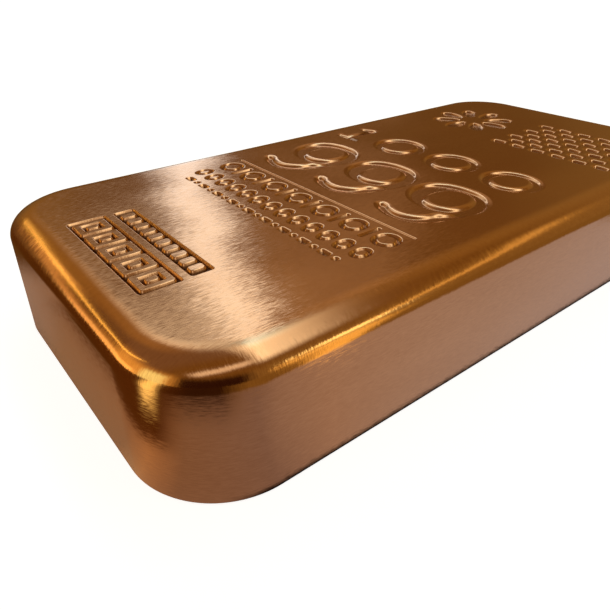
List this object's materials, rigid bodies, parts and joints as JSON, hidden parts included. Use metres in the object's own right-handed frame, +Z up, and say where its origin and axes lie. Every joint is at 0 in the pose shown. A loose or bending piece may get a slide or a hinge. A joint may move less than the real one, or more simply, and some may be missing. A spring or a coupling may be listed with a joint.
{
  "type": "copper ingot",
  "caption": "Small flat copper bullion bar with rounded plan corners, near-upright sides and soft shoulders round a level top face.",
  "frame": {"origin": "middle of the flat underside", "axes": "+X along the bar's length, +Z up from the flat underside to the stamped top face, +Y across the bar"},
  "size_m": [0.1148, 0.057, 0.0177],
  "materials": {
    "copper": "brushed bare copper"
  },
  "bodies": {
    "root": {"ingot": "copper"}
  },
  "joints": []
}
